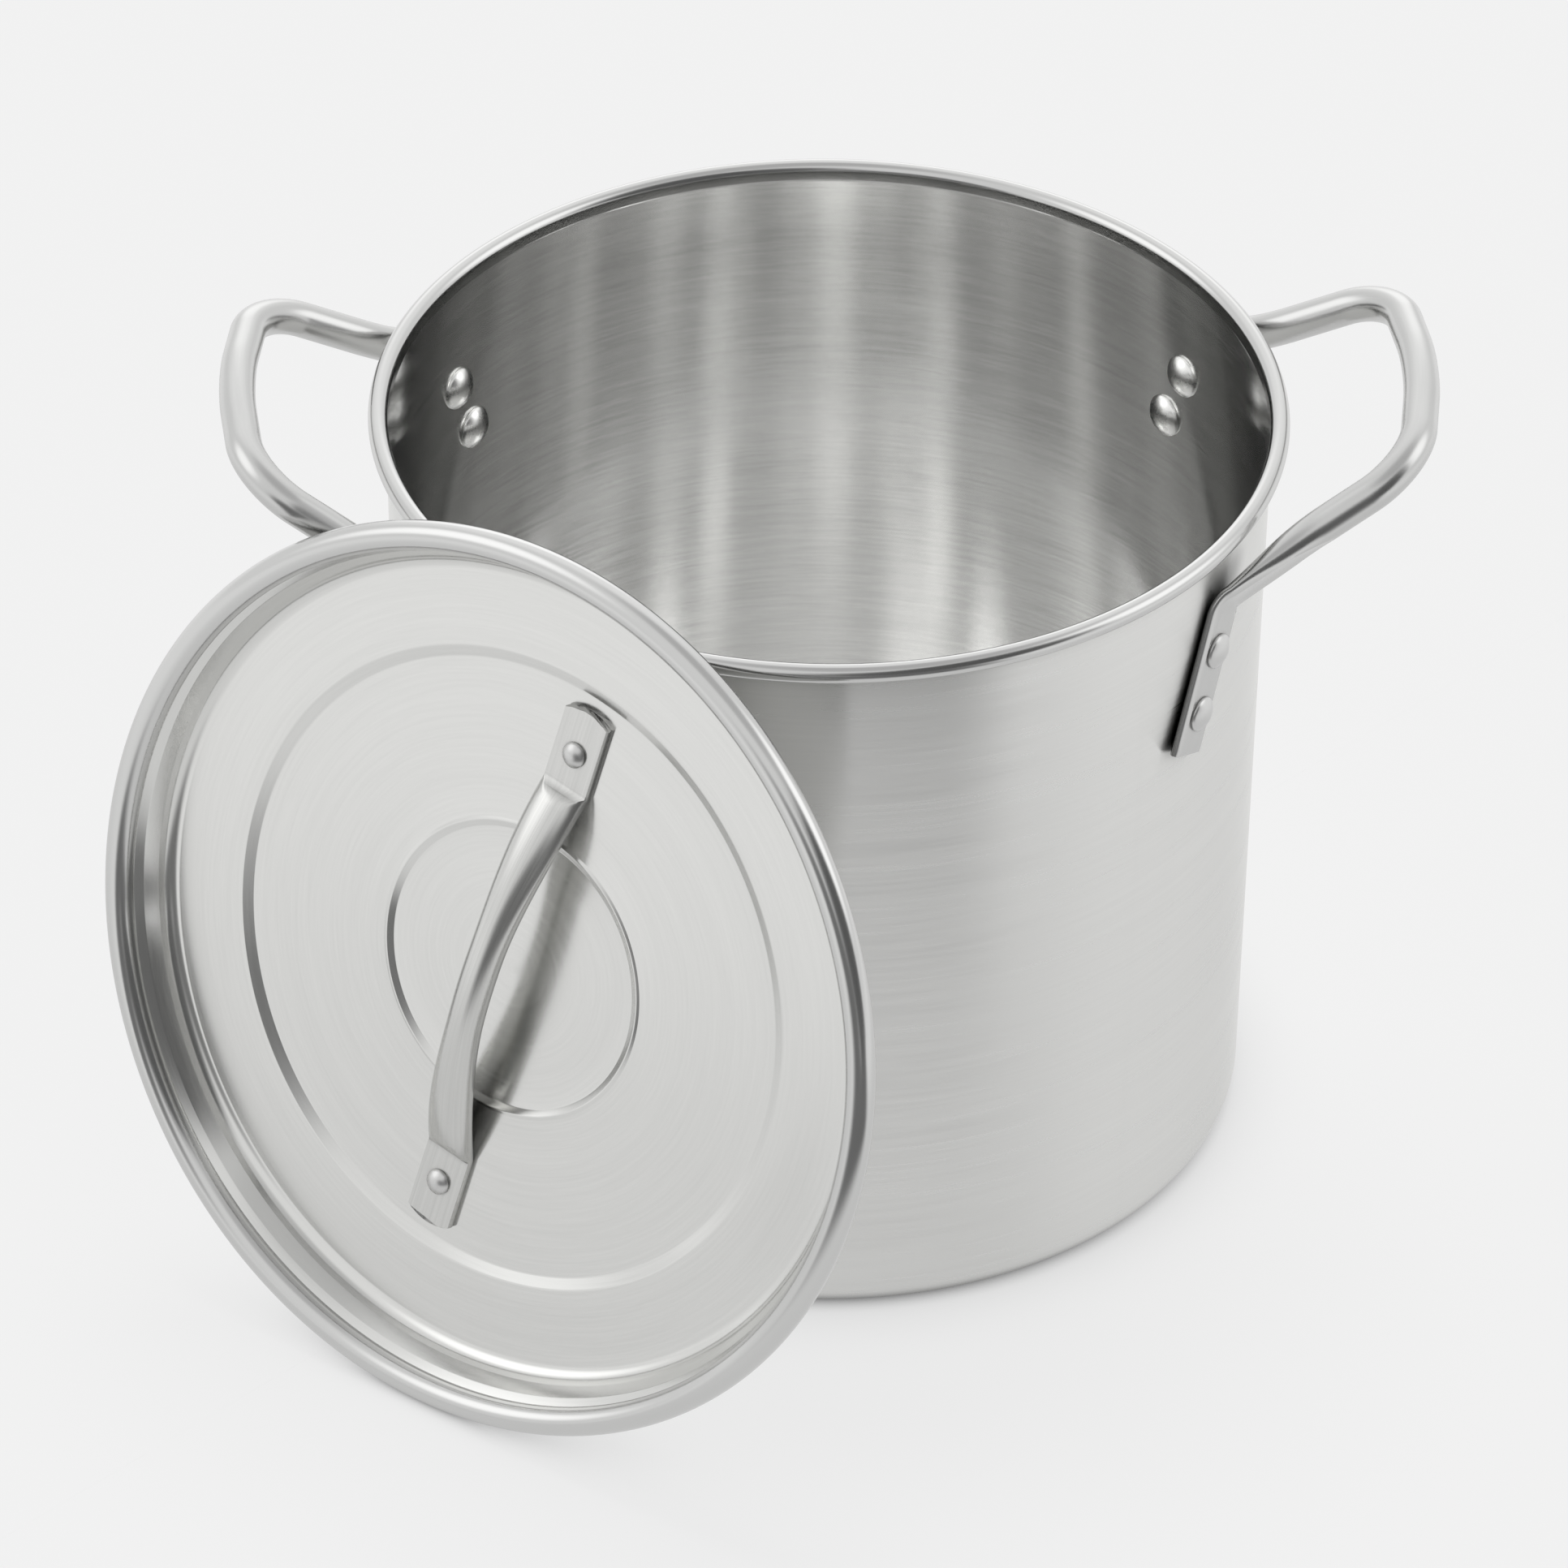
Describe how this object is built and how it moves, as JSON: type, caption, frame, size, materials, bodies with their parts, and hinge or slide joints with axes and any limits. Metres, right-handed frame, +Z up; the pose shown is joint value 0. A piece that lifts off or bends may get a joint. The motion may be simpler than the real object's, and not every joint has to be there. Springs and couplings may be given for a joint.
{
  "type": "brew kettle",
  "caption": "Straight-sided steel brew kettle with a rolled rim, riveted loop side handles and a loose dished lid with an arched handle, leaned against it.",
  "frame": {"origin": "centre of the kettle's flat base, on the floor", "axes": "+Z up along the kettle's own axis; the side handles stand about along X; the lid leans at the front left, towards -X and -Y"},
  "size_m": [0.4534, 0.4235, 0.311],
  "materials": {
    "kettle_steel": "brushed round the wall, polished rim",
    "lid_steel": "satin, spun, polished edge",
    "handle_steel": "polished",
    "rivet_steel": "polished"
  },
  "bodies": {
    "kettle": {"kettle_shell": "kettle_steel", "left_handle": "handle_steel", "left_handle_front_lower_rivet": "rivet_steel", "left_handle_front_upper_rivet": "rivet_steel", "left_handle_rear_lower_rivet": "rivet_steel", "left_handle_rear_upper_rivet": "rivet_steel", "right_handle": "handle_steel", "right_handle_front_lower_rivet": "rivet_steel", "right_handle_front_upper_rivet": "rivet_steel", "right_handle_rear_lower_rivet": "rivet_steel", "right_handle_rear_upper_rivet": "rivet_steel"},
    "lid": {"lid_handle": "handle_steel", "lid_handle_lower_rivet": "rivet_steel", "lid_handle_upper_rivet": "rivet_steel", "lid_shell": "lid_steel"}
  },
  "joints": [
    {"name": "lid_lift", "type": "slide", "parent": "kettle", "child": "lid", "axis": [0, 0, 1], "range_m": [0, 0.33]}
  ]
}
